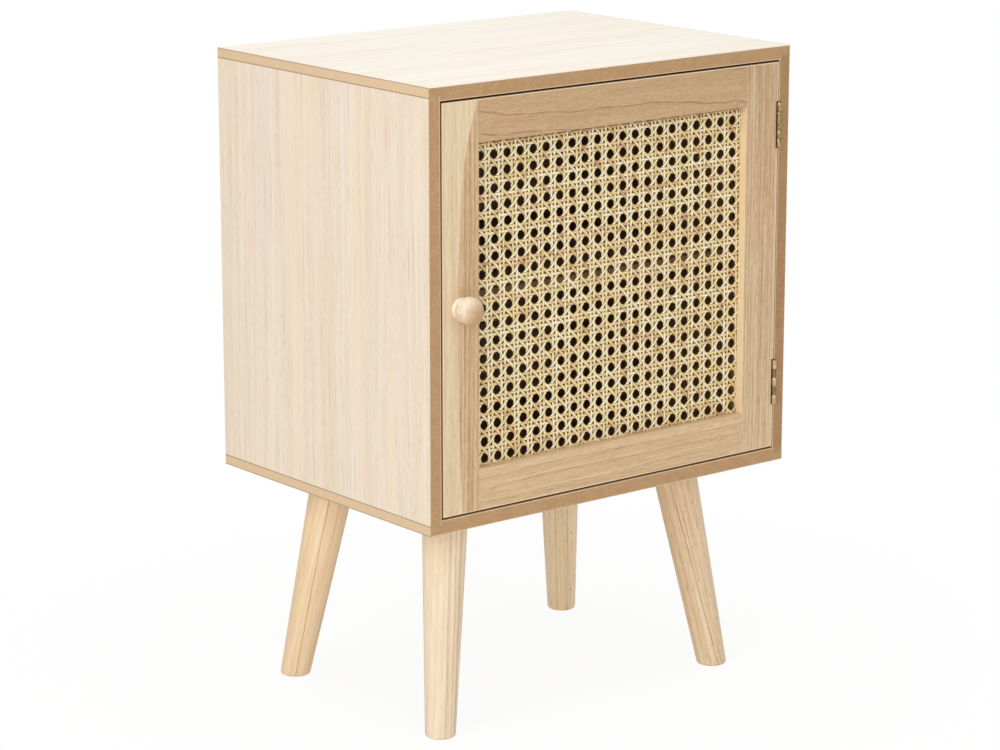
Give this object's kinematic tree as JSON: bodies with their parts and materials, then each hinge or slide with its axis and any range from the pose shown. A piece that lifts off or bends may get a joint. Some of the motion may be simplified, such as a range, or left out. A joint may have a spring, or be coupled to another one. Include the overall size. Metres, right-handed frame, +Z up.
{
  "type": "nightstand",
  "caption": "Small bedside cabinet of pale board on splayed tapered legs, with a hinged cane-panelled door, a wooden knob and a shelf inside.",
  "frame": {"origin": "on the floor, under the middle of the overall box; the box runs from the knob's front to the back", "axes": "+Z up, -Y out of the door's front, +X to the right seen from the front"},
  "size_m": [0.4, 0.319, 0.57],
  "materials": {
    "veneered_board": "matt, pale paulownia veneer with raw fibreboard edges",
    "back_board": "matt hardboard",
    "door_wood": "matt, pale brown paulownia with straight grain",
    "cane": "satin split rattan",
    "turned_wood": "fine sanded beech",
    "leg_wood": "fine sanded pine",
    "dowel_wood": "plain beech",
    "hinge_brass": "antique brass, dull",
    "catch_plastic": "moulded, off-white",
    "magnet_iron": "dark ferrite",
    "zinc_steel": "zinc plated"
  },
  "bodies": {
    "carcass": {"back_left_hanger_bolt": "zinc_steel", "back_left_leg": "leg_wood", "back_left_leg_plate": "zinc_steel", "back_panel": "back_board", "back_panel_nails": "zinc_steel", "back_right_hanger_bolt": "zinc_steel", "back_right_leg": "leg_wood", "back_right_leg_plate": "zinc_steel", "bottom_panel": "veneered_board", "catch_housing": "catch_plastic", "catch_magnet": "magnet_iron", "catch_screws": "zinc_steel", "front_left_hanger_bolt": "zinc_steel", "front_left_leg": "leg_wood", "front_left_leg_plate": "zinc_steel", "front_right_hanger_bolt": "zinc_steel", "front_right_leg": "leg_wood", "front_right_leg_plate": "zinc_steel", "left_side_panel": "veneered_board", "leg_plate_screws": "zinc_steel", "lower_hinge_carcass_leaf": "hinge_brass", "lower_hinge_carcass_screws": "hinge_brass", "lower_hinge_pin": "hinge_brass", "right_side_panel": "veneered_board", "shelf": "veneered_board", "shelf_pins": "zinc_steel", "top_panel": "veneered_board", "upper_hinge_carcass_leaf": "hinge_brass", "upper_hinge_carcass_screws": "hinge_brass", "upper_hinge_pin": "hinge_brass"},
    "door": {"bead_brads": "zinc_steel", "cane_bead_bottom": "door_wood", "cane_bead_left": "door_wood", "cane_bead_right": "door_wood", "cane_bead_top": "door_wood", "cane_panel": "cane", "door_bottom_rail": "door_wood", "door_frame_dowels": "dowel_wood", "door_left_stile": "door_wood", "door_right_stile": "door_wood", "door_top_rail": "door_wood", "knob": "turned_wood", "knob_screw": "zinc_steel", "lower_hinge_door_leaf": "hinge_brass", "lower_hinge_door_screws": "hinge_brass", "strike_plate": "zinc_steel", "strike_screw": "zinc_steel", "upper_hinge_door_leaf": "hinge_brass", "upper_hinge_door_screws": "hinge_brass"}
  },
  "joints": [
    {"name": "door_swing", "type": "hinge", "parent": "carcass", "child": "door", "pos_m": [0.1875, -0.1415, 0.3825], "axis": [0, 0, 1], "range_deg": [0, 180]}
  ]
}
